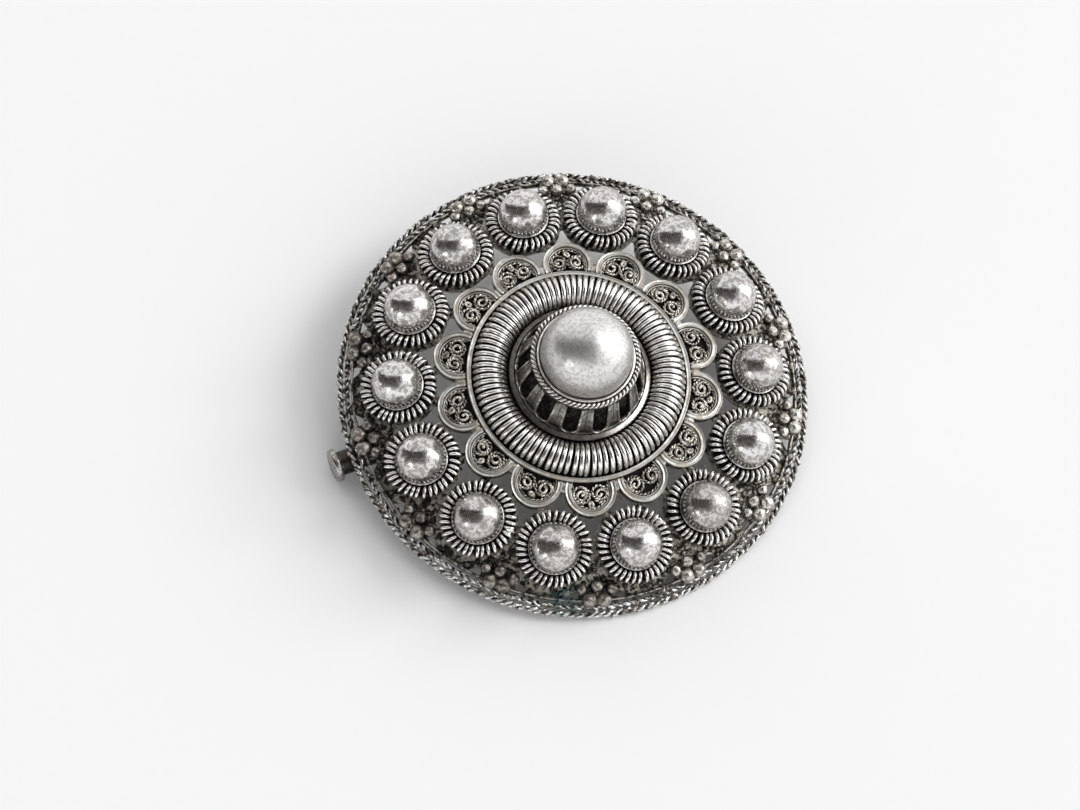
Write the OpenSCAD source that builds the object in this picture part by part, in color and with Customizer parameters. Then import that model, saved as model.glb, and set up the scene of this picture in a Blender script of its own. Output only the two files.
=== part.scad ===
// Round filigree brooch in silver. It lies face up on a table, resting on the knob of its sliding
// catch, on the knuckle of its pin and on the lower edge of its rim. Millimetres.

/* [Brooch] */
// Width across the roped rim
brooch_d = 47; // [44:0.5:50]
// Bosses round the brooch, and the scallops and granule clusters between them
boss_count = 14; // [12:1:14]
// Radius of the domed base plate
dome_r = 72.6; // [60:0.1:90]
// Height of the middle of the base plate over the foot of the rim
dome_h = 4.43; // [3.6:0.01:5]
// Thickness of the base plate
plate_t = 0.4; // [0.3:0.05:0.6]

/* [Rim] */
// Diameter of each of the two twisted wires of the rim
rim_rope_d = 0.66; // [0.5:0.02:0.8]
// Diameter of the thin plain wire inside them
fillet_d = 0.24; // [0.16:0.02:0.3]

/* [Bosses] */
// Distance of the bosses from the middle of the brooch
boss_ring_r = 17.9; // [17:0.1:18.5]
// Radius of a boss
boss_r = 2.47; // [2.3:0.01:2.5]
// Height of the middle of a boss over the plate
boss_h = 1.85; // [1.6:0.05:2.2]
// Sheet that the hollow bosses and the middle dome are raised from
dome_wall = 0.35; // [0.25:0.05:0.6]
// Mean radius of the wire coil round a boss
collar_r = 3.16; // [3.12:0.02:3.2]
// Thickness of that coil
collar_d = 1.4; // [1:0.05:1.4]

/* [Granules] */
// Radius of the two large granules of a cluster
granule_r = 0.66; // [0.5:0.01:0.7]
// Radius of the small granules at the sides of a cluster
side_granule_r = 0.5; // [0.4:0.01:0.51]

/* [Scallops] */
// Distance of the middle of a scallop's arch from the middle of the brooch
scallop_ring_r = 11.8; // [11.5:0.05:12]
// Outer radius of a scallop's arch
scallop_r = 2.5; // [2.2:0.02:2.54]
// Width of the flat ribbon
ribbon_w = 0.45; // [0.35:0.05:0.5]
// Outer radius of the ribbon ring that the scallops stand on
ribbon_ring_r = 11.06; // [10.9:0.02:11.2]

/* [Middle] */
// Mean radius of the large wire coil
main_coil_r = 8.75; // [8.6:0.05:8.8]
// Thickness of the large wire coil
main_coil_d = 3.5; // [3:0.05:3.5]
// Arched windows round the gallery
window_count = 13; // [10:1:14]
// Foot radius of the gallery
gallery_foot_r = 6.35; // [6:0.05:6.4]
// Head radius of the gallery
gallery_head_r = 5.15; // [5:0.05:5.3]
// Height of the gallery's seat over the foot of the rim
seat_z = 8.8; // [8:0.1:9.5]
// Radius of the middle dome
dome_ball_r = 4.48; // [4.2:0.02:4.5]

/* [Fastening] */
// Depth of the pin's axis under the foot of the rim
pin_depth = 1.25; // [1.22:0.01:1.6]
// Distance of the pin's axis from the middle of the brooch
pin_offset = 1.6; // [1.2:0.1:3]
// Diameter of the pin's wire
pin_d = 0.9; // [0.7:0.05:0.95]
// Diameter of the catch's knob, and of the knuckle at the other end of the pin
knob_d = 3.3; // [2.8:0.1:3.6]
// Outer diameter of the catch's tube
tube_d = 2.4; // [2.2:0.05:2.4]
// Outer diameter of the slide in that tube
slide_d = 1.7; // [1.6:0.02:1.72]
// How far the slide is drawn out, 0 as shown
slide_out = 0; // [0:0.1:2.8]

/* [Hidden] */
$fn = 64;
numbers = [for (k = [1 : boss_count]) k];

// Clearance left between soldered pieces
seam = 0.05;
step = 360 / boss_count;
// Direction of the first boss, seen from the front, with the catch at 180 degrees
first_boss_a = 84.5;

// Height of the plate's face at a distance from the axis, and the middle of its sphere
dome_mid_z = dome_h - dome_r;
function plate_z(r) = dome_mid_z + sqrt(dome_r * dome_r - r * r);
// Directions of boss k, and of the gap between boss k and the next one
function boss_a(k) = first_boss_a - (k - 1) * step;
function gap_a(k) = boss_a(k) - step / 2;

// Rim: the outer rope stands on the table, the inner one rides up against it
rope_r = rim_rope_d / 2;
rope_step = 0.65;
rope_rise = 0.25;
outer_rope_r = brooch_d / 2 - rope_r;
inner_rope_r = outer_rope_r - rope_step;
inner_rope_z = rope_r + rope_rise;
plate_edge_r = inner_rope_r - rope_r - 0.07;
fillet_r = plate_edge_r - 0.06;
fillet_z = plate_z(fillet_r) + seam + fillet_d / 2;

// Bosses
boss_lean = asin(boss_ring_r / (dome_r + boss_h));
boss_seat_r = dome_r * sin(boss_lean);
boss_ring_wire = 0.1;
boss_ring_in = 0.02;
boss_ring_h = 1.2;
collar_h = collar_d / 2 + 0.01;

// Granules of one cluster: distance from the axis, sideways place, radius, height over the plate
granules = [
    [plate_edge_r - 0.1, -0.71, granule_r, 0.42],
    [plate_edge_r - 0.1, 0.71, granule_r, 0.42],
    [20.85, 0, granule_r - 0.1, 0.4],
    [21.05, -1.42, side_granule_r, 0.33],
    [21.05, 1.42, side_granule_r, 0.33]
];
solder_t = 0.16;

// Scallops
ribbon_h = 0.45;
inner_wire_w = 0.19;
inner_wire_h = 0.28;
leg_x = -0.9;
web_x = -0.58;
web_l = 0.78;
web_w = 1;
web_h = 0.31;
spiral_r = 0.88;
spiral_turns = 2;
spiral_wire = 0.2;
spiral_h = 0.3;
spiral_side = 0.92;
spiral_x = 0.4;

// Large coil, and the polished strip inside it
main_coil_z = plate_z(main_coil_r) + 0.12;
strip_in_r = 6.62;
strip_out_r = 6.9;
strip_in_z = 4.85;
strip_out_z = 4.7;

// Gallery: a cone with a flange at its foot and a flat seat at its head
gallery_foot_z = plate_z(gallery_foot_r) + seam;
gallery_wall = 0.3;
flange_w = 0.15;
flange_h = 0.3;
cone_foot_z = gallery_foot_z + 0.4;
seat_t = 0.2;
seat_over = 0.1;
seat_in_r = dome_ball_r - 0.4;
window_w = 1.5;
window_low_z = 5.75;
window_top_z = 8.3;
window_from = 3.6;
foot_hole_r = 0.28;
foot_hole_z = 5.15;
window_depth = 4;

// Middle dome, with the rope and the collar round it
middle_dome_z = seat_z + 1.17;
bezel_rope_r = 0.26;
bezel_foot_z = seat_z + seam;
bezel_in_r = dome_ball_r + 0.07;
bezel_out_r = dome_ball_r + 0.3;
bezel_h = 0.7;
bezel_chamfer = 0.12;

// Fastening, along X in the brooch's own frame: the catch is at the left
pin_r = pin_d / 2;
knob_r = knob_d / 2;
knob_t = 0.75;
knob_x = -25.1;
tube_out_x = -24.2;
tube_in_x = -18.7;
slide_in_x = -20.4;
running_gap = 0.05;
slide_bore_r = 0.55;
slide_bore_l = 3.2;
slot_w = pin_d + 0.08;
slot_end_x = -22.4;
pin_tip_x = -22.6;
pin_taper = 3;
pin_point_r = 0.2;
knuckle_x = 19.5;
knuckle_w = 2.6;
foot_l = 2.6;
foot_w = 2;

// Tilt at which the knob, the knuckle and the rim all touch the table
knob_low = pin_depth + knob_r;
tilt_reach = outer_rope_r + pin_offset;
tilt_lift = pin_depth + rope_r;
rest_tilt = asin((knob_low - tilt_lift) / sqrt(tilt_reach * tilt_reach + tilt_lift * tilt_lift))
    + atan2(tilt_lift, tilt_reach);
rest_z = outer_rope_r * sin(rest_tilt) - rope_r * cos(rest_tilt) + rope_r;
rest_x = -(knob_x + brooch_d / 2) / 2;
rest_y = rope_r * sin(rest_tilt);

// The brooch as it lies on the table
module lying() {
    translate([rest_x, rest_y, rest_z]) rotate([rest_tilt, 0, 0]) children();
}

// A place on the plate's face: Z stands out of the face and X points away from the middle
module on_plate(r) {
    translate([0, 0, dome_mid_z]) rotate([0, asin(r / dome_r), 0]) translate([0, 0, dome_r]) children();
}
module turned(a) {
    rotate([0, 0, a]) children();
}

// Everything under the plate's face, to seat a piece on it
module under_face(lift = seam) {
    translate([0, 0, dome_mid_z]) sphere(r = dome_r + lift, $fn = 200);
}
// Round wire laid in a ring
module ring_wire(r, z, wire_r) {
    rotate_extrude($fn = 96) translate([r, z]) circle(r = wire_r, $fn = 24);
}

// Openings of the base plate, drawn in one gap between two bosses, and one hole drilled in one gap
drill_hole_at = 19.05;
drill_hole_r = 0.35;
module rim_opening() {
    polygon([[21.78, 1.75], [21.72, 3.1], [21.2, 2.5], [21.05, 1.8]]);
}
// These two follow the scallop's arch on one side and the coils on the other
function both_sides(side) = concat(side, [for (i = [len(side) - 1 : -1 : 0]) [side[i][0], -side[i][1]]]);
module tip_opening() {
    polygon(both_sides([
        [14.3, 0.1], [14.22, 0.55], [14.02, 1.02], [14.35, 1.12], [14.8, 0.8], [15.4, 0.44], [16.3, 0.12]
    ]));
}
module valley_opening() {
    polygon(both_sides([[12.05, 0.15], [12.75, 0.5], [13.2, 0.86], [13.55, 1.28], [13.95, 1.2]]));
}

module base_plate() color([0.47, 0.46, 0.41]) difference() {
    intersection() {
        under_face(0);
        cylinder(r = plate_edge_r, h = 2 * dome_h);
    }
    under_face(-plate_t);
    for (k = numbers) {
        turned(gap_a(k)) linear_extrude(height = 2 * dome_h) {
            rim_opening();
            mirror([0, 1]) rim_opening();
            tip_opening();
        }
        turned(boss_a(k)) linear_extrude(height = 2 * dome_h) valley_opening();
    }
    turned(gap_a(1)) translate([drill_hole_at, 0, 0]) cylinder(r = drill_hole_r, h = 2 * dome_h, $fn = 24);
}

module rim_rope_outer() color([0.52, 0.53, 0.54]) ring_wire(outer_rope_r, rope_r, rope_r);
module rim_rope_inner() color([0.50, 0.51, 0.53]) ring_wire(inner_rope_r, inner_rope_z, rope_r);
module rim_fillet() color([0.60, 0.60, 0.58]) ring_wire(fillet_r, fillet_z, fillet_d / 2);

// A hollow boss with the plain wire at its foot
module boss(k) color([0.78, 0.77, 0.75]) turned(boss_a(k)) difference() {
    on_plate(boss_seat_r) union() {
        translate([0, 0, boss_h]) sphere(r = boss_r);
        ring_wire(boss_r - boss_ring_in, boss_ring_h, boss_ring_wire);
    }
    on_plate(boss_seat_r) translate([0, 0, boss_h]) sphere(r = boss_r - dome_wall);
    under_face();
}
// The wire coil laid round a boss
module boss_coil(k) color([0.66, 0.65, 0.62]) turned(boss_a(k)) on_plate(boss_seat_r)
    ring_wire(collar_r, collar_h, collar_d / 2);

// Five granules soldered down in one cluster
module granules(k) color([0.70, 0.69, 0.67]) turned(gap_a(k)) difference() {
    union() {
        for (g = granules) translate([g[0], g[1], plate_z(g[0]) + g[3]]) sphere(r = g[2], $fn = 32);
        intersection() {
            under_face(seam + solder_t);
            linear_extrude(height = dome_h) polygon([
                [20.6, 0], [20.9, 1.45], [21.2, 1.45], [21.75, 0.7],
                [21.75, -0.7], [21.2, -1.45], [20.9, -1.45]
            ]);
        }
    }
    under_face();
    ring_wire(fillet_r, fillet_z, fillet_d / 2 + seam);
    ring_wire(inner_rope_r, inner_rope_z, rope_r + seam);
}

// Arches of flat ribbon with a thin wire inside, joined in the valleys by solder
module scallop_arch() {
    difference() {
        translate([0, 0, seam]) cylinder(r = scallop_r, h = ribbon_h);
        translate([0, 0, seam + inner_wire_h]) cylinder(r = scallop_r - ribbon_w, h = 1);
        translate([0, 0, -1]) cylinder(r = scallop_r - ribbon_w - inner_wire_w, h = 3);
        translate([leg_x - scallop_r, -scallop_r, -1]) cube([scallop_r, 2 * scallop_r, 3]);
    }
}
module scallop_band() color([0.74, 0.73, 0.71]) union() for (k = numbers) {
    turned(gap_a(k)) on_plate(scallop_ring_r) scallop_arch();
    turned(boss_a(k)) on_plate(scallop_ring_r)
        translate([web_x, -web_w / 2, seam + 0.02]) cube([web_l, web_w, web_h]);
}
// One flat spiral of wire, outline in order out along one side and back along the other
module spiral() {
    parts_per_turn = 9;
    last = spiral_turns * parts_per_turn;
    side = function (out) [for (i = [0 : last])
        let (a = i * 360 / parts_per_turn, r = spiral_r - out * spiral_wire - (spiral_r - 0.2) * i / last)
        [r * cos(a), r * sin(a)]];
    inner = side(1);
    linear_extrude(height = spiral_h)
        polygon(concat(side(0), [for (i = [last : -1 : 0]) inner[i]]));
}
module scallop_spirals() color([0.72, 0.68, 0.60]) for (k = numbers)
    turned(gap_a(k)) on_plate(scallop_ring_r) translate([spiral_x, 0, seam]) {
        translate([0, spiral_side, 0]) rotate([0, 0, -90]) spiral();
        mirror([0, 1, 0]) translate([0, spiral_side, 0]) rotate([0, 0, -90]) spiral();
    }

module ribbon_ring() color([0.76, 0.75, 0.73]) rotate_extrude($fn = 96) polygon([
    [ribbon_ring_r - ribbon_w, plate_z(ribbon_ring_r - ribbon_w) + seam],
    [ribbon_ring_r, plate_z(ribbon_ring_r) + seam],
    [ribbon_ring_r, plate_z(ribbon_ring_r) + seam + ribbon_h],
    [ribbon_ring_r - ribbon_w, plate_z(ribbon_ring_r - ribbon_w) + seam + ribbon_h]
]);
module main_coil() color([0.68, 0.67, 0.65]) difference() {
    ring_wire(main_coil_r, main_coil_z, main_coil_d / 2);
    under_face();
}
module inner_strip() color([0.80, 0.80, 0.79]) rotate_extrude($fn = 96) polygon([
    [strip_in_r, plate_z(strip_in_r) + seam], [strip_out_r, plate_z(strip_out_r) + seam],
    [strip_out_r, strip_out_z], [strip_in_r, strip_in_z]
]);

// Pierced cone that carries the middle dome
module gallery_window() {
    linear_extrude(height = window_depth) {
        translate([-window_w / 2, window_low_z]) square([window_w, window_top_z - window_low_z]);
        translate([0, window_low_z]) circle(d = window_w, $fn = 32);
    }
}
module gallery() color([0.55, 0.54, 0.52]) difference() {
    rotate_extrude($fn = 96) polygon([
        [gallery_foot_r - gallery_wall, gallery_foot_z], [gallery_foot_r + flange_w, gallery_foot_z],
        [gallery_foot_r + flange_w, gallery_foot_z + flange_h], [gallery_foot_r, cone_foot_z],
        [gallery_head_r, seat_z - seat_t], [gallery_head_r + seat_over, seat_z - seat_t],
        [gallery_head_r + seat_over, seat_z], [seat_in_r, seat_z],
        [seat_in_r, seat_z - seat_t], [gallery_head_r - gallery_wall, seat_z - seat_t],
        [gallery_foot_r - gallery_wall, cone_foot_z]
    ]);
    for (i = [0 : window_count - 1]) {
        turned((i + 0.5) * 360 / window_count) translate([window_from, 0, 0])
            rotate([90, 0, 90]) gallery_window();
        turned(i * 360 / window_count) translate([window_from, 0, foot_hole_z]) rotate([0, 90, 0])
            cylinder(r = foot_hole_r, h = window_depth, $fn = 24);
    }
}

module bezel_rope() color([0.74, 0.73, 0.72])
    ring_wire(gallery_head_r - 0.07, bezel_foot_z + bezel_rope_r, bezel_rope_r);
module bezel_collar() color([0.66, 0.66, 0.66]) rotate_extrude($fn = 96) polygon([
    [bezel_in_r, bezel_foot_z], [bezel_out_r, bezel_foot_z],
    [bezel_out_r, seat_z + bezel_h - bezel_chamfer], [bezel_out_r - bezel_chamfer, seat_z + bezel_h],
    [bezel_in_r, seat_z + bezel_h]
]);
module middle_dome() color([0.82, 0.82, 0.81]) difference() {
    translate([0, 0, middle_dome_z]) sphere(r = dome_ball_r, $fn = 96);
    translate([0, 0, middle_dome_z]) sphere(r = dome_ball_r - dome_wall, $fn = 96);
    translate([0, 0, bezel_foot_z - 2 * dome_ball_r]) cylinder(r = 2 * dome_ball_r, h = 2 * dome_ball_r);
}

// A place on the pin's axis, with Z along the axis towards the catch
module on_pin_axis(x) {
    translate([x, pin_offset, -pin_depth]) rotate([0, -90, 0]) children();
}
// The plain pin: a straight wire with a knuckle, and the foot that holds it to the plate
module pin() color([0.60, 0.60, 0.61]) union() {
    on_pin_axis(knuckle_x) cylinder(r = pin_r, h = knuckle_x - pin_tip_x - pin_taper, $fn = 32);
    on_pin_axis(pin_tip_x + pin_taper) cylinder(r1 = pin_r, r2 = pin_point_r, h = pin_taper, $fn = 32);
    translate([knuckle_x, pin_offset + knuckle_w / 2, -pin_depth]) rotate([90, 0, 0])
        cylinder(r = knob_r, h = knuckle_w);
    intersection() {
        translate([knuckle_x - foot_l / 2, pin_offset - foot_w / 2, -pin_depth])
            cube([foot_l, foot_w, dome_h]);
        under_face(-plate_t - seam);
    }
}
// The catch's tube, soldered under the rim and slotted below for the pin
module catch_tube() color([0.35, 0.35, 0.36]) difference() {
    on_pin_axis(tube_in_x) cylinder(r = tube_d / 2, h = tube_in_x - tube_out_x, $fn = 128);
    on_pin_axis(tube_in_x + 1)
        cylinder(r = slide_d / 2 + running_gap, h = tube_in_x - tube_out_x + 2, $fn = 128);
    translate([slot_end_x, pin_offset - slot_w / 2, -pin_depth - tube_d])
        cube([tube_in_x - slot_end_x + 1, slot_w, tube_d]);
}
// The slide that locks the pin's point in, with its knob
module catch_slide() color([0.72, 0.72, 0.71]) translate([-slide_out, 0, 0]) difference() {
    union() {
        on_pin_axis(slide_in_x) cylinder(r = slide_d / 2, h = slide_in_x - knob_x);
        on_pin_axis(knob_x + knob_t) cylinder(r = knob_r, h = knob_t);
    }
    on_pin_axis(slide_in_x + 1) cylinder(r = slide_bore_r, h = 1 + slide_bore_l);
}

lying() base_plate();
lying() rim_rope_outer();
lying() rim_rope_inner();
lying() rim_fillet();
for (k = numbers) {
    lying() boss(k);
    lying() boss_coil(k);
    lying() granules(k);
}
lying() scallop_band();
lying() scallop_spirals();
lying() ribbon_ring();
lying() main_coil();
lying() inner_strip();
lying() gallery();
lying() bezel_rope();
lying() bezel_collar();
lying() middle_dome();
lying() pin();
lying() catch_tube();
lying() catch_slide();
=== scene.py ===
# Filigree brooch: wires, balls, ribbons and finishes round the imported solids. Metres.

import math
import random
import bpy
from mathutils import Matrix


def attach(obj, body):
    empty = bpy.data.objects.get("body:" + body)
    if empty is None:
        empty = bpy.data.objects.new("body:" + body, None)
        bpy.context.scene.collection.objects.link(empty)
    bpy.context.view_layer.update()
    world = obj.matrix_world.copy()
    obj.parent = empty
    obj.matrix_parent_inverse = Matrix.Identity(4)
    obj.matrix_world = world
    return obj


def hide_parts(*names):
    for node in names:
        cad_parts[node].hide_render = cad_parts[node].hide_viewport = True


bl_info = {
    "name": "Filigree Brooch",
    "version": (1, 0, 0),
    "blender": (4, 5, 0),
    "location": "3D View > Sidebar > Brooch",
    "description": "Coils, ropes, granules, scallops, gallery and tarnished finishes of a silver brooch",
    "category": "Add Mesh",
}

import bmesh
import bpy
import numpy as np
from bpy.props import FloatProperty, FloatVectorProperty, IntProperty, PointerProperty
from bpy.types import Operator, Panel, PropertyGroup
from mathutils import Matrix, Vector, noise

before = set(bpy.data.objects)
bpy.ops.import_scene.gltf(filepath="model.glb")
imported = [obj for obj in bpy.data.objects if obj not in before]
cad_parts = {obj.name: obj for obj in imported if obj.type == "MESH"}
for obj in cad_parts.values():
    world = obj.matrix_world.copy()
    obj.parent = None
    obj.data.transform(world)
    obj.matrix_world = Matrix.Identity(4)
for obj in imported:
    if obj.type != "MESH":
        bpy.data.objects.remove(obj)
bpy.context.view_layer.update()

MM = 0.001
TAU = 2 * math.pi
UP = np.array((0, 0, 1.0))
# Far under the brooch: what is hammered away from here moves up and down only
BELOW = Vector((0, 0, -20 * MM))
# Gap between soldered neighbours, and how near each other points are welded
SEAM = 0.05 * MM
WELD = 1e-7


# Sizes and colours that a maker would change
def length(name, description, mm):
    return FloatProperty(name=name, description=description, default=mm * MM, unit="LENGTH")


def number(name, description, value):
    return IntProperty(name=name, description=description, default=value)


def degrees(name, description, value):
    return FloatProperty(
        name=name, description=description, default=math.radians(value), subtype="ANGLE"
    )


def tone(name, description, value):
    return FloatVectorProperty(name=name, description=description, default=value, subtype="COLOR")


class BroochForm(PropertyGroup):
    """Main sizes of the brooch"""

    brooch_d: length("Width", "Width across the roped rim", 47)
    boss_count: number("Bosses", "Bosses, scallops and granule clusters", 14)
    dome_r: length("Plate radius", "Radius of the domed plate", 72.6)
    dome_h: length("Plate height", "Middle of the plate over the foot of the rim", 4.43)
    rope_d: length("Rim rope", "Thickness of each twisted wire of the rim", 0.66)
    fillet_d: length("Rim fillet", "Thickness of the plain wire inside the ropes", 0.24)
    boss_ring_r: length("Boss ring", "Distance of the bosses from the middle", 17.9)
    boss_r: length("Boss", "Radius of a boss", 2.47)
    boss_h: length("Boss height", "Middle of a boss over the plate", 1.85)
    collar_r: length("Boss coil", "Mean radius of the coil round a boss", 3.16)
    collar_d: length("Boss coil thickness", "Thickness of that coil", 1.4)
    granule_r: length("Granule", "Radius of the large granules", 0.66)
    side_granule_r: length("Side granule", "Radius of the granules at the sides of a cluster", 0.5)
    scallop_ring_r: length("Scallop ring", "Distance of the scallops from the middle", 11.8)
    scallop_r: length("Scallop", "Outer radius of a scallop's arch", 2.5)
    ribbon_w: length("Ribbon", "Width of the flat ribbon", 0.45)
    ribbon_ring_r: length("Ribbon ring", "Outer radius of the ring that the scallops stand on", 11.06)
    main_coil_r: length("Large coil", "Mean radius of the large coil", 8.75)
    main_coil_d: length("Large coil thickness", "Thickness of the large coil", 3.5)
    window_count: number("Windows", "Windows round the gallery", 13)
    gallery_foot_r: length("Gallery foot", "Foot radius of the gallery", 6.35)
    gallery_head_r: length("Gallery head", "Head radius of the gallery", 5.15)
    seat_z: length("Seat", "Height of the gallery's seat over the foot of the rim", 8.8)
    dome_ball_r: length("Middle dome", "Radius of the middle dome", 4.48)
    pin_depth: length("Pin depth", "Pin's axis under the foot of the rim", 1.25)
    pin_offset: length("Pin offset", "Pin's axis from the middle", 1.6)
    knob_d: length("Knob", "Diameter of the catch's knob", 3.3)
    slide_d: length("Slide", "Diameter of the catch's slide", 1.7)


class BroochWires(PropertyGroup):
    """Wires that the brooch is wound from"""

    boss_turns: number("Boss turns", "Turns of wire round a boss", 35)
    boss_wire_r: length("Boss wire", "Radius of the wire round a boss", 0.165)
    main_turns: number("Large turns", "Turns of the large coil", 98)
    main_wire_r: length("Large wire", "Radius of the wire of the large coil", 0.222)
    rim_twists: number("Rim twists", "Twists in each rope of the rim", 88)
    bezel_twists: number("Bezel twists", "Twists in the rope round the middle dome", 33)


class BroochFinish(PropertyGroup):
    """Colours of the silver"""

    silver: tone("Silver", "Bare silver", (0.90, 0.89, 0.87))
    ribbon: tone("Ribbon", "Flat ribbon, dulled", (0.57, 0.57, 0.54))
    warm: tone("Warm tarnish", "Thin tarnish", (0.46, 0.42, 0.37))
    # The oxide colour is also the darkest painted shade, wherever the shade and oxide value is high
    oxide: tone("Oxide", "Black tarnish in the recesses", (0.035, 0.031, 0.03))
    olive: tone("Olive", "Grime on the plate", (0.32, 0.30, 0.25))
    steel_blue: tone("Blue grey", "Cool tarnish of the rim", (0.76, 0.77, 0.77))
    verdigris: tone("Verdigris", "Green-blue bloom", (0.10, 0.27, 0.28))


class BroochStage(PropertyGroup):
    """Camera, light and floor"""

    azimuth: degrees("Azimuth", "View turned from +Y towards +X", 31.53)
    elevation: degrees("Elevation", "View's height over the floor", 63.18)
    roll: degrees("Roll", "Camera's roll", 8.37)
    distance: length("Distance", "Camera to the point it aims at", 257.3)
    aim: FloatVectorProperty(
        name="Aim", description="Point that the camera aims at",
        default=(-3.35 * MM, -0.76 * MM, 4.0 * MM), subtype="TRANSLATION",
    )
    lens: FloatProperty(name="Lens", description="Focal length in mm on a 36 mm sensor", default=87.3)
    window_power: FloatProperty(
        name="Window", description="Power of the window light", default=2.5, unit="POWER"
    )
    room_light: FloatProperty(name="Room", description="Strength of the room's own light", default=1.24)


# Places worked out from the sizes, with Z along the brooch's axis and the foot of the rim at zero
ROPE_STEP = 0.65 * MM
ROPE_RISE = 0.25 * MM
FIRST_BOSS_ANGLE = math.radians(84.5)
KNOB_OUT_X = -25.1 * MM
# Gap between the plate's edge and the inner rope, and the coils' height over the plate
EDGE_GAP = 0.07 * MM
COIL_LIFT = 0.01 * MM


class Layout:
    """Places of the pieces, worked out from the form"""

    def __init__(self, form):
        self.form = form
        self.rope_r = form.rope_d / 2
        self.outer_rope_r = form.brooch_d / 2 - self.rope_r
        self.inner_rope_r = self.outer_rope_r - ROPE_STEP
        self.inner_rope_z = self.rope_r + ROPE_RISE
        self.plate_edge_r = self.inner_rope_r - self.rope_r - EDGE_GAP
        self.dome_mid = Vector((0, 0, form.dome_h - form.dome_r))
        self.step = TAU / form.boss_count
        lean = math.asin(form.boss_ring_r / (form.dome_r + form.boss_h))
        self.boss_seat_r = form.dome_r * math.sin(lean)
        self.collar_h = form.collar_d / 2 + COIL_LIFT
        self.lying = self.rest_place()

    def rest_place(self):
        """The turn and shift that lay the brooch on its knob, its knuckle and its rim."""
        form = self.form
        reach = self.outer_rope_r + form.pin_offset
        lift = form.pin_depth + self.rope_r
        drop = form.pin_depth + form.knob_d / 2 - lift
        tilt = math.asin(drop / math.hypot(reach, lift)) + math.atan2(lift, reach)
        shift = Vector((
            -(KNOB_OUT_X + form.brooch_d / 2) / 2,
            self.rope_r * math.sin(tilt),
            self.outer_rope_r * math.sin(tilt) - self.rope_r * math.cos(tilt) + self.rope_r,
        ))
        return Matrix.Translation(shift) @ Matrix.Rotation(tilt, 4, "X")

    def plate_z(self, r):
        return self.dome_mid.z + math.sqrt(self.form.dome_r**2 - r * r)

    def boss_angle(self, k):
        return FIRST_BOSS_ANGLE - k * self.step

    def gap_angle(self, k):
        return self.boss_angle(k) - self.step / 2

    def on_plate(self, r, angle):
        """A place on the plate: Z stands out of its face and X points away from the middle."""
        lean = math.asin(r / self.form.dome_r)
        return (
            Matrix.Rotation(angle, 4, "Z")
            @ Matrix.Translation(self.dome_mid)
            @ Matrix.Rotation(lean, 4, "Y")
            @ Matrix.Translation((0, 0, self.form.dome_r))
        )

    def boss_place(self, k):
        return self.on_plate(self.boss_seat_r, self.boss_angle(k))

    def scallop_place(self, k):
        return self.on_plate(self.form.scallop_ring_r, self.gap_angle(k))


def layout():
    return Layout(bpy.context.scene.brooch_form)


def wires():
    return bpy.context.scene.brooch_wires


# Meshes
def smooth_step(low, high, values):
    t = np.clip((values - low) / (high - low), 0, 1)
    return t * t * (3 - 2 * t)


def fade(low, high, values):
    return 1 - smooth_step(low, high, values)


def mesh_from(bm, name):
    """Closes, welds and turns outward what was modelled."""
    bmesh.ops.remove_doubles(bm, verts=bm.verts, dist=WELD)
    bmesh.ops.recalc_face_normals(bm, faces=bm.faces)
    mesh = bpy.data.meshes.new(name)
    bm.to_mesh(mesh)
    bm.free()
    return mesh


def wire_mesh(name, paths, radius, sides=8, closed=False, swell=None):
    """Round wire along each path, an array of points. Its swell is a factor for the radius at each point."""
    curve = bpy.data.curves.new(name, "CURVE")
    curve.dimensions = "3D"
    curve.bevel_depth = radius
    curve.bevel_resolution = (sides - 4) // 2
    curve.use_fill_caps = not closed
    for path in paths:
        spline = curve.splines.new("POLY")
        spline.points.add(len(path) - 1)
        spline.points.foreach_set("co", np.c_[path, np.ones(len(path))].ravel())
        if swell is not None:
            spline.points.foreach_set("radius", swell)
        spline.use_cyclic_u = closed
    obj = bpy.data.objects.new(name, curve)
    bpy.context.scene.collection.objects.link(obj)
    evaluated = obj.evaluated_get(bpy.context.evaluated_depsgraph_get())
    mesh = bpy.data.meshes.new_from_object(evaluated)
    bpy.data.objects.remove(obj)
    bpy.data.curves.remove(curve)
    return mesh


def add_mesh(bm, mesh, place=None):
    """Adds a mesh to what is being modelled, at a place."""
    before = len(bm.verts)
    bm.from_mesh(mesh)
    bm.verts.ensure_lookup_table()
    if place is not None:
        bmesh.ops.transform(bm, matrix=place, verts=bm.verts[before:])
    return bm.verts[before:]


def add_wires(bm, paths, radius, sides=8, closed=False, place=None):
    """Adds round wires to what is being modelled."""
    mesh = wire_mesh("wires", paths, radius, sides, closed)
    add_mesh(bm, mesh, place)
    bpy.data.meshes.remove(mesh)


def polar(r, turn, z):
    """Points by radius, angle and height."""
    return np.c_[r * np.cos(turn), r * np.sin(turn), z]


def ring_path(r, z, count):
    return polar(r, np.arange(count) * TAU / count, np.full(count, z))


def two_strands(path, offset, twists, closed=True):
    """The paths of two strands that are twisted round each other along a path."""
    if closed:
        tangent = np.roll(path, -1, 0) - np.roll(path, 1, 0)
    else:
        tangent = np.gradient(path, axis=0)
    tangent /= np.linalg.norm(tangent, axis=1)[:, None]
    side = np.cross(tangent, UP)
    side /= np.linalg.norm(side, axis=1)[:, None]
    lift = np.cross(side, tangent)
    strands = []
    for phase in (0.0, math.pi):
        turn = (phase + TAU * twists * np.arange(len(path)) / len(path))[:, None]
        strands.append(path + offset * (np.cos(turn) * side + np.sin(turn) * lift))
    return strands


def rope_mesh(name, r, z, rope_r, share, twists, points):
    """A rope that is laid in a ring. Each strand takes a share of its radius, each twist some points."""
    strand_r = share * rope_r
    path = ring_path(r, z, points * abs(twists))
    return wire_mesh(name, two_strands(path, rope_r - strand_r, twists), strand_r, closed=True)


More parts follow.
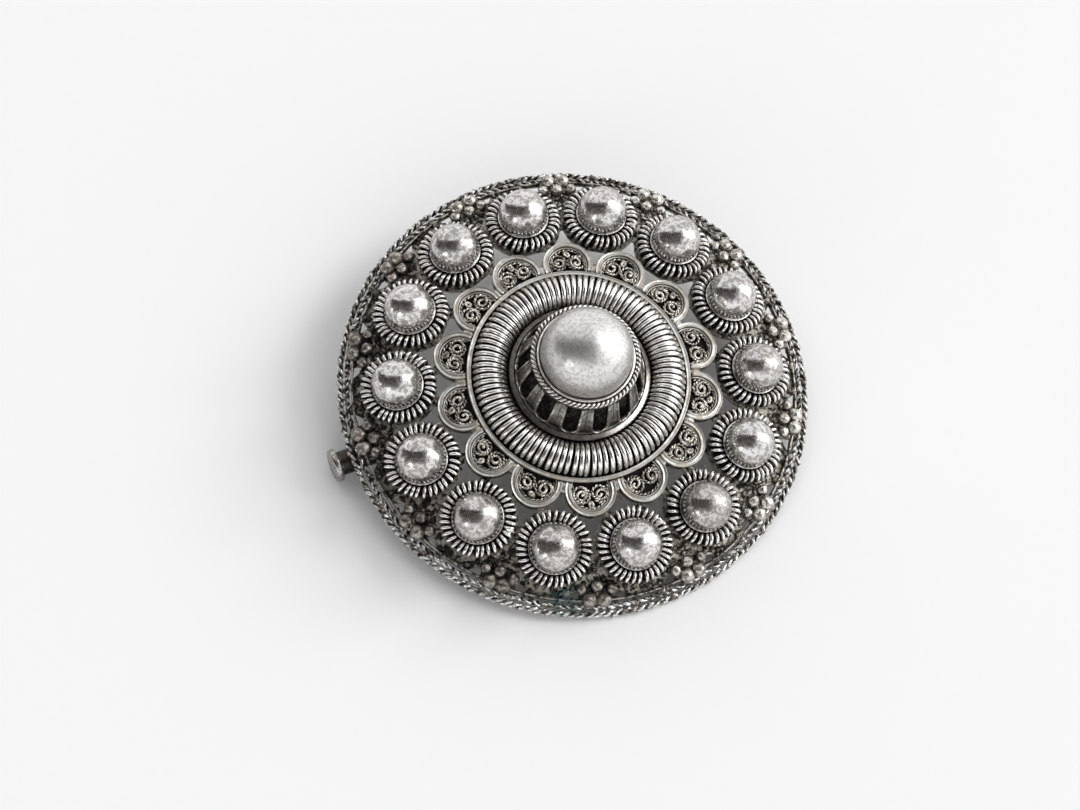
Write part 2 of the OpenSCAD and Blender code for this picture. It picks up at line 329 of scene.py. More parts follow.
def rounded_box(r0, r1, z0, z1, bevel, groove=0.0):
    """Section of a ribbon with rounded corners and a hollowed top, as points of radius and height."""
    corners = [(r1, z0, -90), (r1, z1, 0), (r0, z1, 90), (r0, z0, 180)]
    section = []
    for r, z, first in corners:
        if groove and first == 90:
            section += [(r1 - 1.9 * bevel, z1 - groove), (r0 + 1.9 * bevel, z1 - groove)]
        mid_r = r - math.copysign(bevel, r - (r0 + r1) / 2)
        mid_z = z - math.copysign(bevel, z - (z0 + z1) / 2)
        for part in range(4):
            a = math.radians(first + part * 30)
            section.append((mid_r + bevel * math.cos(a), mid_z + bevel * math.sin(a)))
    return section


def round_section(r, z, wire_r):
    turns = [i * TAU / 8 for i in range(8)]
    return [(r + wire_r * math.cos(turn), z + wire_r * math.sin(turn)) for turn in turns]


def lathe(bm, section, steps, start=0.0, angle=TAU, closed=True):
    """Spins a section round Z. A closed section that is spun part of the way gets its two ends filled."""
    verts = [
        bm.verts.new(Matrix.Rotation(start, 3, "Z") @ Vector((r, 0, z))) for r, z in section
    ]
    pairs = list(zip(verts, verts[1:]))
    if closed:
        pairs.append((verts[-1], verts[0]))
    edges = [bm.edges.new(pair) for pair in pairs]
    full = abs(angle - TAU) < 1e-6
    made = bmesh.ops.spin(
        bm, geom=verts + edges, cent=(0, 0, 0), axis=(0, 0, 1), angle=angle, steps=steps, use_merge=full
    )
    if closed and not full:
        bm.faces.new(verts)
        bm.faces.new([g for g in made["geom_last"] if isinstance(g, bmesh.types.BMVert)])


def lump(bm, place, sizes, detail):
    """A ball that is flattened to its half sizes, along the axes of its place."""
    made = bmesh.ops.create_icosphere(
        bm, subdivisions=detail, radius=1.0, matrix=place @ Matrix.Diagonal((*sizes, 1))
    )
    return made["verts"]


def ball(bm, centre, radius, detail):
    made = bmesh.ops.create_icosphere(
        bm, subdivisions=detail, radius=radius, matrix=Matrix.Translation(centre)
    )
    return made["verts"]


def cut_flat(bm, z):
    """Cuts away what lies under a height, and closes the cut."""
    bmesh.ops.bisect_plane(
        bm, geom=bm.verts[:] + bm.edges[:] + bm.faces[:], plane_co=(0, 0, z), plane_no=(0, 0, 1),
        clear_inner=True,
    )
    bmesh.ops.holes_fill(bm, edges=[e for e in bm.edges if e.is_boundary])


def hammered(verts, centre, depth, size, seed):
    """Moves a raised form in and out a little, as hammering leaves it."""
    shift = Vector((seed * 7.3, seed * 3.1, seed * 5.7))
    for v in verts:
        out = v.co - centre
        v.co += out.normalized() * (depth * noise.noise(v.co / size + shift))


def worn(mesh, depth, size, seed=0):
    """Moves a finished surface in and out along its normals, as wear and casting leave it."""
    shift = Vector((seed * 3.7, seed * 5.3, seed * 1.9))
    normals = [v.normal.copy() for v in mesh.vertices]
    for v, normal in zip(mesh.vertices, normals):
        v.co += normal * (depth * noise.noise(v.co / size + shift))
    mesh.update()


def set_shade_and_oxide(mesh, values):
    """How dark each point is painted, 0 proud and 1 in a recess: oxide in the hollows together with painted
    shade in recesses, under things and between parts.
    """
    layer = mesh.attributes.new("shade_and_oxide", "FLOAT", "POINT")
    layer.data.foreach_set("value", np.ascontiguousarray(values, np.float32))


def points_of(mesh):
    co = np.empty(len(mesh.vertices) * 3, np.float32)
    mesh.vertices.foreach_get("co", co)
    return co.reshape(-1, 3).astype(float)


# How much lighter one side is painted than the rest: one side of the rim's ropes, and the painted sheen on
# the large coil's flanks that face the light
SIDE_LIGHTENING = 0.4


def over_plate(mesh, place):
    """Height of each point over the plate."""
    return np.linalg.norm(points_of(mesh) - np.array(place.dome_mid), axis=1) - place.form.dome_r


def axis_distance(co):
    return np.hypot(co[:, 0], co[:, 1])


def facing(co, angle):
    """1 for points in one direction from the middle, -1 for those across."""
    return np.cos(np.arctan2(co[:, 1], co[:, 0]) - angle)


def shade_by_height(mesh, place, low, high):
    """Painted shade and oxide, darkest near the plate and lighter above it."""
    set_shade_and_oxide(mesh, fade(low, high, over_plate(mesh, place)))


def shade_by_ring(mesh, r, z, low, high, lighter_side=None):
    """Painted shade and oxide, darkest near the middle line of a ring and lighter away from it, and painted
    lighter on one side.
    """
    co = points_of(mesh)
    shade_and_oxide = fade(low, high, np.hypot(axis_distance(co) - r, co[:, 2] - z))
    if lighter_side is not None:
        shade_and_oxide -= SIDE_LIGHTENING * smooth_step(0.45, 0.95, facing(co, lighter_side))
    set_shade_and_oxide(mesh, shade_and_oxide)


def add_piece(name, mesh, kind, replaced, body="body", sharp=None):
    """Lays a finished mesh on the table with the brooch, as a piece of one body."""
    mesh.name = name
    mesh.transform(layout().lying)
    mesh.materials.clear()
    mesh.materials.append(finish_of(kind))
    mesh.shade_smooth()
    if sharp is not None:
        mesh.set_sharp_from_angle(angle=sharp)
    obj = bpy.data.objects.new(name, mesh)
    bpy.context.scene.collection.objects.link(obj)
    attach(obj, body)
    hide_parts(*replaced)


def finish_node(node, kind):
    """Gives a node of the CAD model its finish."""
    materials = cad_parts[node].data.materials
    materials.clear()
    materials.append(finish_of(kind))


# Finishes
GRAIN_SCALE = 14000.0
UNDERSIDE_COLOR = (0.55, 0.54, 0.52, 1)
# Where the verdigris is thickest
BLOOM_R = 22.0 * MM
BLOOM_ANGLE = math.radians(-116)
BLOOM_SCALE = 4600.0


class Nodes:
    """Adds nodes to one tree. A socket given as a value is linked, and a number or colour is set."""

    def __init__(self, tree):
        self.tree = tree

    def feed(self, node, sockets):
        for key, value in sockets.items():
            if isinstance(value, bpy.types.NodeSocket):
                self.tree.links.new(value, node.inputs[key])
            else:
                node.inputs[key].default_value = value

    def add(self, kind, sockets=None, **settings):
        made = self.tree.nodes.new(kind)
        for key, value in settings.items():
            setattr(made, key, value)
        self.feed(made, sockets or {})
        return made

    def group(self, name, build, sockets=None):
        """A shared group, which is built when it is first asked for."""
        tree = bpy.data.node_groups.get(name) or build(name)
        return self.add("ShaderNodeGroup", sockets, node_tree=tree).outputs

    def place(self):
        return self.add("ShaderNodeTexCoord").outputs["Object"]

    def math(self, operation, a, b=0.0, clamp=False):
        return self.add("ShaderNodeMath", {0: a, 1: b}, operation=operation, use_clamp=clamp).outputs[0]

    def plus(self, a, b, clamp=False):
        return self.math("ADD", a, b, clamp)

    def minus(self, a, b):
        return self.math("SUBTRACT", a, b)

    def times(self, a, b):
        return self.math("MULTIPLY", a, b)

    def larger(self, a, b):
        return self.math("MAXIMUM", a, b)

    def vector(self, operation, a, b=(0, 0, 0)):
        return self.add("ShaderNodeVectorMath", {0: a, 1: b}, operation=operation).outputs["Value"]

    def ramp(self, value, low, high, to_low=0.0, to_high=1.0):
        sockets = {"Value": value, "From Min": low, "From Max": high, "To Min": to_low, "To Max": to_high}
        return self.add("ShaderNodeMapRange", sockets, interpolation_type="SMOOTHSTEP").outputs[0]

    def mix(self, factor, a, b):
        return self.add("ShaderNodeMix", {0: factor, 6: a, 7: b}, data_type="RGBA").outputs[2]

    def noise(self, where, scale, detail, distortion=0.0):
        sockets = {"Vector": where, "Scale": scale, "Detail": detail, "Distortion": distortion}
        return self.add("ShaderNodeTexNoise", sockets).outputs["Fac"]


def new_group(name, inputs, outputs):
    """An empty shader node group with named sockets, and its two end nodes."""
    group = bpy.data.node_groups.new(name, "ShaderNodeTree")
    for label, kind, default in inputs:
        socket = group.interface.new_socket(label, in_out="INPUT", socket_type=kind)
        socket.default_value = default
    for label, kind in outputs:
        group.interface.new_socket(label, in_out="OUTPUT", socket_type=kind)
    nodes = Nodes(group)
    return nodes, nodes.add("NodeGroupInput"), nodes.add("NodeGroupOutput")


def old_silver_group(name):
    """Silver that darkens in patches of tarnish and by its Shade and oxide input, which is oxide in the
    hollows together with painted shade.
    """
    nodes, start, end = new_group(
        name,
        [
            ("Shade and oxide", "NodeSocketFloat", 0.0),
            ("Bare", "NodeSocketColor", (0.9, 0.9, 0.9, 1)),
            ("Thin tarnish", "NodeSocketColor", (0.4, 0.4, 0.4, 1)),
            ("Oxide", "NodeSocketColor", (0.03, 0.03, 0.03, 1)),
            ("Patch scale", "NodeSocketFloat", 900.0),
            ("Patch amount", "NodeSocketFloat", 0.5),
            ("Polish", "NodeSocketFloat", 0.15),
            ("Dullness", "NodeSocketFloat", 0.5),
        ],
        [("Color", "NodeSocketColor"), ("Roughness", "NodeSocketFloat"), ("Height", "NodeSocketFloat")],
    )
    take = start.outputs
    where = nodes.place()
    broad = nodes.noise(where, take["Patch scale"], 9.0, 0.6)
    patch = nodes.times(nodes.ramp(broad, 0.42, 0.60), take["Patch amount"])
    speck_scale = nodes.times(take["Patch scale"], 3.7)
    specks = nodes.ramp(nodes.noise(where, speck_scale, 5.0, 0.5), 0.55, 0.66)
    specks = nodes.times(specks, take["Patch amount"])
    spotted = nodes.larger(patch, nodes.times(specks, 0.8))
    free = nodes.minus(1.0, take["Shade and oxide"])
    # Tarnish here adds the patches to the Shade and oxide input, so it carries painted shade as well as
    # tarnish
    tarnish = nodes.plus(take["Shade and oxide"], nodes.times(spotted, free), clamp=True)
    thin = nodes.mix(nodes.ramp(tarnish, 0.0, 0.55), take["Bare"], take["Thin tarnish"])
    color = nodes.mix(nodes.ramp(tarnish, 0.45, 1.0), thin, take["Oxide"])
    fine = nodes.noise(where, GRAIN_SCALE, 2.0)
    span = nodes.minus(take["Dullness"], take["Polish"])
    rough = nodes.plus(take["Polish"], nodes.times(span, nodes.ramp(tarnish, 0.0, 0.8)))
    rough = nodes.plus(rough, nodes.times(nodes.minus(fine, 0.5), 0.16), clamp=True)
    height = nodes.minus(nodes.times(fine, 0.35), specks)
    nodes.feed(end, {"Color": color, "Roughness": rough, "Height": height})
    return nodes.tree


def plate_shade_group(name):
    """Painted shade on the plate where it lies under coils and scallops and inside the ribbon ring, painted
    shade and grime near its edge, and where its underside shows.
    """
    place = layout()
    form = place.form
    nodes, _, end = new_group(
        name, [], [("Shade and oxide", "NodeSocketFloat"), ("Underside", "NodeSocketFloat")]
    )
    back = place.lying.inverted()
    sockets = {"Vector": nodes.place(), "Location": back.translation, "Rotation": back.to_euler()}
    upright = nodes.add("ShaderNodeMapping", sockets).outputs[0]
    axes = nodes.add("ShaderNodeSeparateXYZ", {0: upright}).outputs
    flat = nodes.add("ShaderNodeCombineXYZ", {0: axes[0], 1: axes[1]}).outputs[0]
    r = nodes.vector("LENGTH", flat)
    angle = nodes.math("ARCTAN2", axes[1], axes[0])

    def around(first, ring_r, low, high):
        """1 inside circles that repeat round a ring, 0 outside."""
        folded = nodes.math("FLOORED_MODULO", nodes.minus(angle, first - place.step / 2), place.step)
        local = nodes.minus(folded, place.step / 2)
        out = nodes.minus(nodes.times(r, nodes.math("COSINE", local)), ring_r)
        side = nodes.times(r, nodes.math("SINE", local))
        spot = nodes.add("ShaderNodeCombineXYZ", {0: out, 1: side}).outputs[0]
        return nodes.ramp(nodes.vector("LENGTH", spot), low, high, 1.0, 0.0)

    reach = form.collar_r + form.collar_d / 2
    coils = around(FIRST_BOSS_ANGLE, place.boss_seat_r, reach - 0.9 * MM, reach - 0.1 * MM)
    reach = form.scallop_r
    gap = FIRST_BOSS_ANGLE - place.step / 2
    arches = around(gap, form.scallop_ring_r, reach - 0.2 * MM, reach)
    middle = nodes.ramp(r, form.ribbon_ring_r, form.ribbon_ring_r + 0.1 * MM, 1.0, 0.0)
    open_floor = nodes.ramp(r, form.gallery_foot_r - 0.6 * MM, form.gallery_foot_r, 0.8, 1.0)
    middle = nodes.times(middle, open_floor)
    edge = nodes.ramp(r, place.plate_edge_r - 1.0 * MM, place.plate_edge_r - 0.2 * MM, 0.0, 0.75)
    shade_and_oxide = nodes.larger(nodes.larger(coils, arches), nodes.larger(middle, edge))
    depth = nodes.vector("DISTANCE", upright, place.dome_mid)
    under = nodes.ramp(depth, form.dome_r - 0.30 * MM, form.dome_r - 0.05 * MM, 1.0, 0.0)
    shade_and_oxide = nodes.times(shade_and_oxide, nodes.minus(1.0, under))
    nodes.feed(end, {"Shade and oxide": shade_and_oxide, "Underside": under})
    return nodes.tree


def bloom_group(name):
    """Verdigris round one spot near the rim, and a little of it elsewhere."""
    place = layout()
    nodes, start, end = new_group(
        name,
        [
            ("Color", "NodeSocketColor", (0.5, 0.5, 0.5, 1)),
            ("Bloom", "NodeSocketColor", (0.16, 0.42, 0.42, 1)),
        ],
        [("Color", "NodeSocketColor"), ("Metallic", "NodeSocketFloat")],
    )
    where = nodes.place()
    spot = place.lying @ Vector((
        BLOOM_R * math.cos(BLOOM_ANGLE), BLOOM_R * math.sin(BLOOM_ANGLE), place.plate_z(BLOOM_R),
    ))
    near = nodes.ramp(nodes.vector("DISTANCE", where, spot), 0.5 * MM, 3.0 * MM, 0.18, 0.0)
    patchy = nodes.plus(nodes.noise(where, BLOOM_SCALE, 6.0, 0.6), near)
    bloom = nodes.ramp(patchy, 0.62, 0.76, 0.0, 0.6)
    color = nodes.mix(bloom, start.outputs["Color"], start.outputs["Bloom"])
    metallic = nodes.minus(1.0, nodes.times(bloom, 0.8))
    nodes.feed(end, {"Color": color, "Metallic": metallic})
    return nodes.tree


def colour(values):
    return (*values, 1.0)


def silver_material(
    name, bare_and_sheen, patches, polish, bump, thin=None, shade_and_oxide="attribute", bloom=False, relief=0.03
):
    """A finish of old silver, with its painted shade and oxide from the piece's attribute or from the place
    on the plate.
    """
    if name in bpy.data.materials:
        return bpy.data.materials[name]
    finish = bpy.context.scene.brooch_finish
    material = bpy.data.materials.new(name)
    material.use_nodes = True
    nodes = Nodes(material.node_tree)
    sockets = {
        "Bare": colour(bare_and_sheen), "Thin tarnish": colour(thin or finish.warm), "Oxide": colour(finish.oxide),
        "Patch scale": patches[0], "Patch amount": patches[1], "Polish": polish[0], "Dullness": polish[1],
    }
    if shade_and_oxide == "attribute":
        sockets["Shade and oxide"] = nodes.add("ShaderNodeAttribute", attribute_name="shade_and_oxide").outputs["Fac"]
    elif shade_and_oxide == "plate":
        shade = nodes.group("Plate shade", plate_shade_group)
        sockets["Shade and oxide"] = shade["Shade and oxide"]
    silver = nodes.group("Old silver", old_silver_group, sockets)
    color = silver["Color"]
    metallic = 1.0
    if shade_and_oxide == "plate":
        color = nodes.mix(shade["Underside"], color, UNDERSIDE_COLOR)
    if bloom:
        sockets = {"Bloom": colour(finish.verdigris), "Color": color}
        green = nodes.group("Verdigris bloom", bloom_group, sockets)
        color = green["Color"]
        metallic = green["Metallic"]
    sockets = {"Strength": bump, "Distance": relief * MM, "Height": silver["Height"]}
    normal = nodes.add("ShaderNodeBump", sockets).outputs["Normal"]
    nodes.feed(material.node_tree.nodes["Principled BSDF"], {
        "Base Color": color, "Roughness": silver["Roughness"], "Metallic": metallic, "Normal": normal,
    })
    return material


def finish_of(kind):
    """The finish of a kind of piece."""
    f = bpy.context.scene.brooch_finish
    # Each row: bare colour, patches (scale, amount), roughness (bare, tarnished), bump, thin tarnish,
    # where its painted shade and oxide come from, whether it has verdigris, and the bump's relief in mm
    kinds = {
        "boss": ("Polished boss", (0.72, 0.71, 0.70), (2400, 0.50), (0.10, 0.28), 0.35, (0.38, 0.355, 0.33)),
        "dome": ("Satin dome", (0.74, 0.74, 0.73), (3200, 0.36), (0.33, 0.46), 0.45, (0.48, 0.46, 0.43)),
        "coil": ("Coil wire", f.silver, (1000, 0.28), (0.2, 0.45), 0.25),
        "rope": ("Rim rope", f.steel_blue, (1700, 0.85), (0.1, 0.4), 0.8, None, "attribute", True, 0.06),
        "bezel": ("Bezel rope", f.silver, (900, 0.3), (0.2, 0.45), 0.2),
        "strip": ("Polished strip", (0.93, 0.92, 0.90), (1900, 0.32), (0.18, 0.45), 0.3),
        "ribbon": ("Flat ribbon", f.ribbon, (900, 0.5), (0.3, 0.52), 0.6),
        "spiral": ("Spiral wire", (0.96, 0.93, 0.85), (2600, 0.7), (0.14, 0.42), 0.4),
        "gallery": ("Gallery ribbon", (0.88, 0.86, 0.82), (1100, 0.5), (0.2, 0.5), 0.4, (0.38, 0.36, 0.33)),
        "granule": ("Granule", (0.74, 0.73, 0.70), (2400, 0.62), (0.12, 0.42), 0.6, None, "attribute", True),
        # The plate's olive grime is its own; its darkening under coils and scallops is the painted shade of
        # the Plate shade group
        "plate": (
            "Grimed plate, painted shade", (0.50, 0.48, 0.42), (1700, 0.92), (0.36, 0.7), 1.0, f.olive, "plate", True, 0.16
        ),
        "tube": (
            "Dark tube", (0.03, 0.029, 0.028), (900, 0.5), (0.16, 0.4), 0.3, (0.05, 0.042, 0.035), None
        ),
        "pin": ("Pin wire", (0.62, 0.62, 0.61), (700, 0.4), (0.25, 0.45), 0.3, None, None),
        "knob": ("Knob", (0.44, 0.43, 0.42), (2600, 0.4), (0.2, 0.45), 0.2, (0.20, 0.18, 0.16), None),
    }
    return silver_material(*kinds[kind])


# The pieces
class BROOCH_OT_plate(Operator):
    """Finishes the domed, pierced plate"""

    bl_idname = "brooch.finish_plate"
    bl_label = "Plate"

    def execute(self, context):
        finish_node("base_plate", "plate")
        return {"FINISHED"}


# Direction of the side where the rim's ropes are painted lighter
RIM_LIGHTER_ANGLE = math.radians(-105)


class BROOCH_OT_rim(Operator):
    """Lays two twisted ropes and a thin plain wire round the edge"""

    bl_idname = "brooch.add_rim"
    bl_label = "Rim"

    def execute(self, context):
        place = layout()
        twists = wires().rim_twists
        ropes = [
            ("rim_rope_outer", place.outer_rope_r, place.rope_r, 1.0, twists),
            ("rim_rope_inner", place.inner_rope_r, place.inner_rope_z, 0.9, -twists),
        ]
        for name, r, z, share, turns in ropes:
            rope_r = share * place.rope_r
            mesh = rope_mesh(name, r, z, rope_r, 0.56, turns, 14)
            # Painted shade and oxide between the strands, and one side painted lighter
            shade_by_ring(mesh, r, z, 0.60 * rope_r, 0.92 * rope_r, RIM_LIGHTER_ANGLE)
            worn(mesh, 0.14 * MM, 0.55 * MM, twists)
            worn(mesh, 0.09 * MM, 0.22 * MM, 2 * twists)
            add_piece(f"{name}_strands", mesh, "rope", [name])
        wire_r = place.form.fillet_d / 2
        ring_r = place.plate_edge_r - 0.06 * MM
        path = ring_path(ring_r, place.plate_z(ring_r) + SEAM + wire_r, 260)
        mesh = wire_mesh("rim_fillet", [path], wire_r, closed=True)
        # Painted shade and oxide towards the plate
        shade_by_height(mesh, place, 0.1 * MM, 0.42 * MM)
        worn(mesh, 0.05 * MM, 0.4 * MM)
        add_piece("rim_fillet_wire", mesh, "rope", ["rim_fillet"])
        return {"FINISHED"}


BOSS_RING_WIRE = 0.10 * MM
BOSS_RING_H = 1.2 * MM
BOSS_RING_IN = 0.02 * MM
# Bosses with a thin tarnish all over, and how deep it is
DULL_BOSSES = {4: 0.12, 6: 0.22, 8: 0.16, 9: 0.16, 10: 0.10, 13: 0.08}


class BROOCH_OT_bosses(Operator):
    """Raises the polished bosses, each with a plain wire at its foot"""

    bl_idname = "brooch.add_bosses"
    bl_label = "Bosses"

    def execute(self, context):
        place = layout()
        form = place.form
        for k in range(form.boss_count):
            bm = bmesh.new()
            centre = Vector((0, 0, form.boss_h))
            verts = ball(bm, centre, form.boss_r, 5)
            hammered(verts, centre, 0.044 * MM, 1.4 * MM, k + 1)
            hammered(verts, centre, 0.010 * MM, 0.42 * MM, k + 30)
            cut_flat(bm, SEAM)
            lathe(bm, round_section(form.boss_r - BOSS_RING_IN, BOSS_RING_H, BOSS_RING_WIRE), 72)
            bmesh.ops.transform(bm, matrix=place.boss_place(k), verts=bm.verts)
            name = f"boss_{k + 1}"
            mesh = mesh_from(bm, name)
            # Painted shade and oxide towards the foot of each boss, over the thin tarnish of some bosses
            deep = fade(0.4 * MM, 1.3 * MM, over_plate(mesh, place))
            set_shade_and_oxide(mesh, np.maximum(DULL_BOSSES.get(k, 0.0), deep))
            add_piece(f"{name}_ball", mesh, "boss", [name])
        return {"FINISHED"}


def coil_path(ring_r, tube_r, height, turns, per_turn, draw, unevenness):
    """Closed path of a coil that is laid in a ring, with slightly uneven turns."""
    pitch = TAU / turns
    lead = [draw.uniform(-unevenness, unevenness) * pitch for _ in range(turns)]
    swell = [1 + draw.uniform(-unevenness, unevenness) * 0.25 for _ in range(turns)]
    count = turns * per_turn
    at = np.arange(count) / per_turn
    index = np.arange(turns + 1)
    lead = np.interp(at, index, lead + lead[:1])
    swell = np.interp(at, index, swell + swell[:1])
    around = at * pitch + lead
    across = at * TAU
    r = ring_r + tube_r * swell * np.cos(across)
    z = height + tube_r * np.sin(across) * np.where(np.sin(across) > 0, swell, 1)
    return polar(r, around, z)


# Direction of the solder lump that joins a coil's ends, on the bosses where it is large
SOLDERED_JOINS = {1: math.radians(-41), 7: math.radians(20), 9: math.radians(-46)}
LARGE_JOIN_R = 0.46 * MM
SMALL_JOIN_R = 0.26 * MM


class BROOCH_OT_boss_coils(Operator):
    """Winds a ring-shaped coil of wire round each boss"""

    bl_idname = "brooch.add_boss_coils"
    bl_label = "Boss coils"

    def execute(self, context):
        place = layout()
        form = place.form
        wire = wires()
        draw = random.Random(14)
        tube_r = form.collar_d / 2 - wire.boss_wire_r
        for k in range(form.boss_count):
            name = f"boss_coil_{k + 1}"
            path = coil_path(form.collar_r, tube_r, place.collar_h, wire.boss_turns, 18, draw, 0.18)
            bm = bmesh.new()
            add_wires(bm, [path], wire.boss_wire_r, closed=True)
            angle = SOLDERED_JOINS.get(k, math.radians(draw.uniform(0, 360))) - place.boss_angle(k)
            join_r = LARGE_JOIN_R if k in SOLDERED_JOINS else SMALL_JOIN_R
            out = form.collar_r + 0.1 * MM
            at = Vector((out * math.cos(angle), out * math.sin(angle), place.collar_h + 0.2 * MM))
            hammered(ball(bm, at, join_r, 3), at, 0.7 * join_r, 0.35 * MM, k + 1)
            mesh = mesh_from(bm, name)
            # Painted shade and oxide inside each coil, between its turns
            shade_by_ring(mesh, form.collar_r, place.collar_h, tube_r - 0.13 * MM, tube_r + 0.07 * MM)
            mesh.transform(place.boss_place(k))
            worn(mesh, 0.02 * MM, 0.7 * MM, k)
            add_piece(f"{name}_wire", mesh, "coil", [name])
        return {"FINISHED"}


# Lumps in each gap between the coils, and the part of it that lies over an opening of the plate
CRUMBS = 110
RIM_OPENING = ((20.95 * MM, 21.85 * MM), (1.65 * MM, 3.2 * MM))
# Direction of the side where the granules and their crust are painted darkest
DARK_SIDE_ANGLE = math.radians(-165)
SOLDER_OUT = 21.3 * MM
SOLDER_SIZES = (0.95 * MM, 1.75 * MM, 0.26 * MM)
# What is hammered away from this far under it moves mostly up and down
LUMP_UNDER = Vector((0, 0, 2 * MM))


def add_crust(bm, place, turned, draw):
    """Lumps of solder and grime between the coils and the rim, clear of the plate's openings."""
    low, high = RIM_OPENING
    boss_out = place.boss_seat_r * math.cos(place.step / 2)
    boss_side = place.boss_seat_r * math.sin(place.step / 2)
    for _ in range(CRUMBS):
        out = draw.triangular(18.6, 22.2, 21.7) * MM
        side = draw.uniform(-3.9, 3.9) * MM
        size = draw.uniform(0.10, 0.32) * MM
        shape = draw.uniform(0.5, 0.8)
        seed = draw.random() * 9
        by_boss = math.hypot(out - boss_out, abs(side) - boss_side)
        open_there = low[0] < out < low[1] and high[0] < abs(side) < high[1]
        if open_there or by_boss < place.form.collar_r + place.form.collar_d / 2:
            continue
        centre = turned @ Vector((out, side, place.plate_z(math.hypot(out, side)) + 0.04 * MM + 0.2 * size))
        verts = ball(bm, centre, size, 2 if size > 0.18 * MM else 1)
        hammered(verts, centre, 0.9 * size, 0.2 * MM, seed)
        for v in verts:
            v.co.z = centre.z + shape * (v.co.z - centre.z)


class BROOCH_OT_granules(Operator):
    """Solders five small balls down between each two bosses"""

    bl_idname = "brooch.add_granules"
    bl_label = "Granules"

    def execute(self, context):
        place = layout()
        form = place.form
        draw = random.Random(5)
        edge = place.plate_edge_r - 0.1 * MM
        large = form.granule_r
        small = form.side_granule_r
        cluster = [
            (edge, -0.71 * MM, large, 0.42 * MM),
            (edge, 0.71 * MM, large, 0.42 * MM),
            (20.85 * MM, 0.0, large - 0.1 * MM, 0.4 * MM),
            (21.05 * MM, -1.42 * MM, small, 0.33 * MM),
            (21.05 * MM, 1.42 * MM, small, 0.33 * MM),
        ]
        for k in range(form.boss_count):
            name = f"granules_{k + 1}"
            bm = bmesh.new()
            turned = Matrix.Rotation(place.gap_angle(k), 4, "Z")
            for out, side, radius, height in cluster:
                jitter = Vector((draw.uniform(-1, 1), draw.uniform(-1, 1), 0)) * 0.08 * MM
                centre = turned @ (Vector((out, side, place.plate_z(out) + height)) + jitter)
                verts = ball(bm, centre, radius * draw.uniform(1.03, 1.12), 4)
                hammered(verts, centre, 0.08 * MM, 0.45 * MM, draw.random() * 9)
            add_crust(bm, place, turned, draw)
            solder = turned @ Vector((SOLDER_OUT, 0, place.plate_z(SOLDER_OUT)))
            verts = lump(bm, Matrix.Translation(solder) @ turned, SOLDER_SIZES, 5)
            hammered(verts, solder - LUMP_UNDER, 0.30 * MM, 0.3 * MM, k + 2)
            mesh = mesh_from(bm, name)
            # Painted shade and oxide low on the balls and crust near the plate, and all of it painted darker
            # towards one side
            dark_side = smooth_step(-0.4, 0.7, math.cos(place.gap_angle(k) - DARK_SIDE_ANGLE))
            low = (0.62 + 0.38 * dark_side) * fade(0.12 * MM, 0.8 * MM, over_plate(mesh, place))
            set_shade_and_oxide(mesh, np.maximum(0.58 * dark_side, low))
            add_piece(f"{name}_balls", mesh, "granule", [name])
        return {"FINISHED"}


RIBBON_H = 0.58 * MM
INNER_WIRE_R = 0.08 * MM
INNER_WIRE_IN = 0.11 * MM
INNER_WIRE_Z = 0.30 * MM
ARCH_W = 0.46 * MM
# Where the arches end, across from their middle towards the ribbon ring
LEG_X = -0.9 * MM
WEB_SHIFT = (-0.22 * MM, 0, SEAM + 0.12 * MM)
WEB_SIZES = (0.6 * MM, 0.7 * MM, 0.32 * MM)


class BROOCH_OT_scallops(Operator):
    """Bends the flat ribbon arches with a thin wire inside, and the ring that they stand on"""

    bl_idname = "brooch.add_scallops"
    bl_label = "Scallops"

    def execute(self, context):
        place = layout()
        form = place.form
        bm = bmesh.new()
        outer = form.scallop_r
        half = math.acos(LEG_X / (outer - ARCH_W / 2))
        ribbon = rounded_box(outer - ARCH_W, outer, SEAM, SEAM + RIBBON_H, 0.06 * MM, 0.06 * MM)
        lathe(bm, ribbon, 44, -half, 2 * half)
        wire_ring = outer - ARCH_W - INNER_WIRE_IN
        half = math.acos(LEG_X / wire_ring)
        lathe(bm, round_section(wire_ring, SEAM + INNER_WIRE_Z, INNER_WIRE_R), 44, -half, 2 * half)
        arch = mesh_from(bm, "arch")
        bm = bmesh.new()
        for k in range(form.boss_count):
            verts = add_mesh(bm, arch, place.scallop_place(k))
            hammered(verts, BELOW, 0.07 * MM, 1.7 * MM, 3)
            web = place.on_plate(form.scallop_ring_r, place.boss_angle(k)) @ Matrix.Translation(WEB_SHIFT)
            hammered(lump(bm, web, WEB_SIZES, 4), web.translation - LUMP_UNDER, 0.08 * MM, 0.5 * MM, k)
        mesh = mesh_from(bm, "scallop_band")
        # Painted shade and oxide towards the plate
        shade_by_height(mesh, place, 0.1 * MM, 0.42 * MM)
        add_piece("scallop_arches", mesh, "ribbon", ["scallop_band"])
        bm = bmesh.new()
        inner = form.ribbon_ring_r - form.ribbon_w
        foot = place.plate_z(form.ribbon_ring_r) + SEAM
        lathe(bm, rounded_box(inner, form.ribbon_ring_r, foot, foot + RIBBON_H, 0.07 * MM, 0.04 * MM), 160)
        hammered(bm.verts, BELOW, 0.06 * MM, 3 * MM, 8)
        mesh = mesh_from(bm, "ribbon_ring")
        # Painted shade and oxide towards the plate
        shade_by_height(mesh, place, 0.1 * MM, 0.36 * MM)
        add_piece("ribbon_ring_band", mesh, "ribbon", ["ribbon_ring"])
        return {"FINISHED"}


SPIRAL_R = 0.80 * MM
SPIRAL_EYE_R = 0.15 * MM
SPIRAL_TURNS = 2.3
SPIRAL_WIRE_R = 0.092 * MM
SPIRAL_STRAND_OUT = 0.080 * MM
